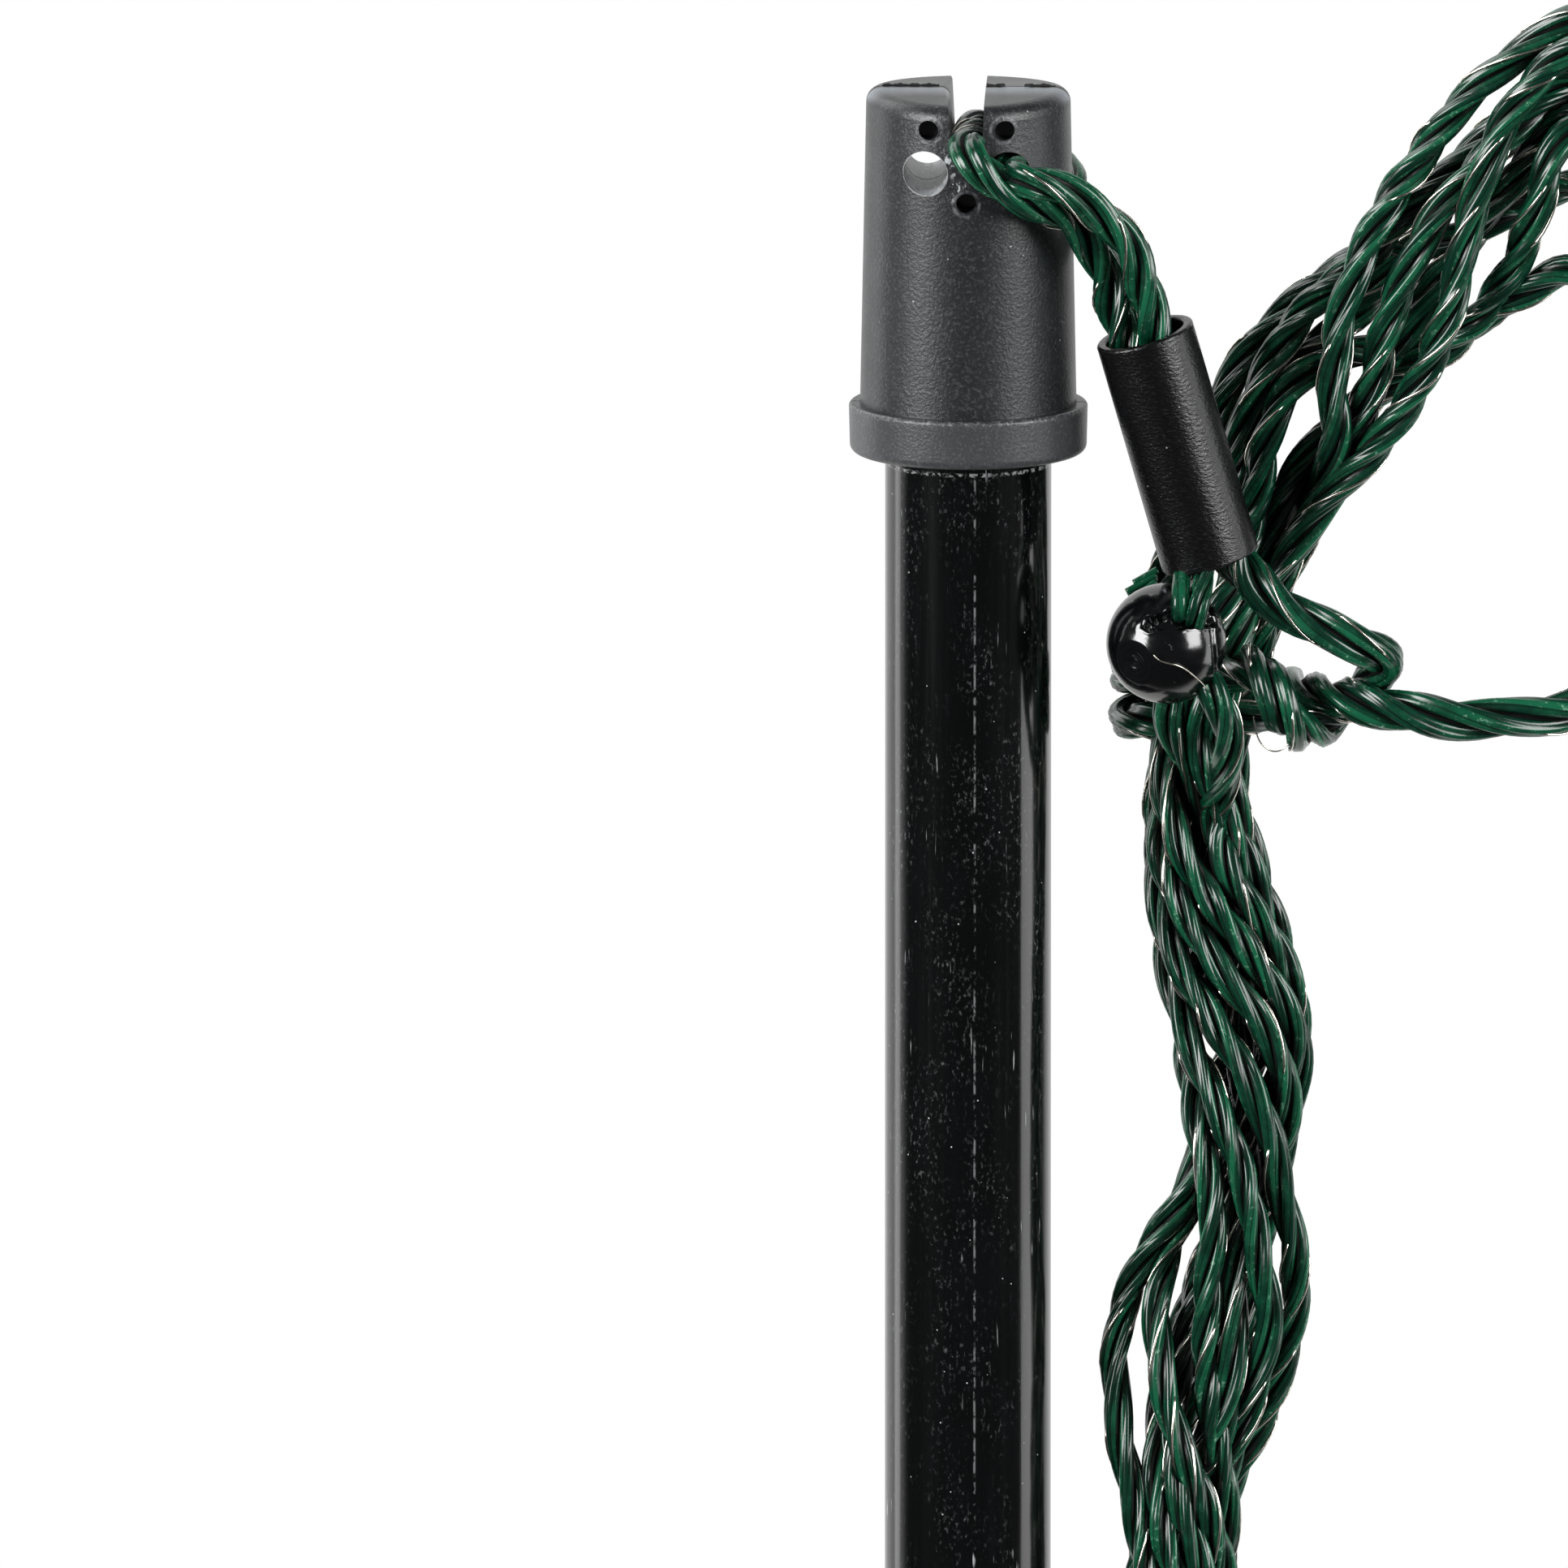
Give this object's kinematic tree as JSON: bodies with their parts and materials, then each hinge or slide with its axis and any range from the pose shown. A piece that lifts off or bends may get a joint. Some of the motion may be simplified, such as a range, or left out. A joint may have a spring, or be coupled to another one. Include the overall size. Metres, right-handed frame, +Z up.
{
  "type": "electric netting post",
  "caption": "Black plastic netting post with a swivelling two-part cap and a steel ground spike; green twine with steel strands is tied through the cap, a sleeve and a ball.",
  "frame": {"origin": "on the post's axis at ground level, where the spike leaves the foot", "axes": "+Z up along the post, -Y the front of the cap, +X the side the tied twine leaves to"},
  "size_m": [0.0825, 0.0307, 0.8083],
  "materials": {
    "tube_black": "gloss extruded",
    "cap_black": "fine moulded grain",
    "sleeve_black": "matt extruded",
    "ball_black": "gloss moulded",
    "twine_green": "twisted monofilament with steel strands",
    "spike_steel": "zinc plated",
    "ferrule_metal": "crimped",
    "bush_black": "moulded",
    "tie_black": "moulded"
  },
  "bodies": {
    "post": {"post_tube": "tube_black", "swivel_bush": "bush_black", "foot_bush": "bush_black", "ground_spike": "spike_steel"},
    "clip": {"bottom_clip": "cap_black"},
    "cap": {"cap_front_shell": "cap_black", "cap_rear_shell": "cap_black", "cap_pegs": "bush_black", "cord_sleeve": "sleeve_black", "sleeve_ferrule": "ferrule_metal", "junction_ball": "ball_black", "stopper_bead": "ball_black", "tie_loop": "twine_green", "bore_cord": "twine_green", "ball_cord": "twine_green", "top_line_start": "twine_green", "top_line_run": "twine_green", "ball_lead": "twine_green", "hank_wrap": "twine_green", "hank_upper": "twine_green", "hank_lower": "twine_green", "hank_tie": "tie_black"}
  },
  "joints": [
    {"name": "cap_turn", "type": "hinge", "parent": "post", "child": "cap", "pos_m": [0, 0, 0.638], "axis": [0, 0, 1], "continuous": true},
    {"name": "clip_slide", "type": "slide", "parent": "post", "child": "clip", "axis": [0, 0, 1], "range_m": [-0.05, 0.35]}
  ]
}
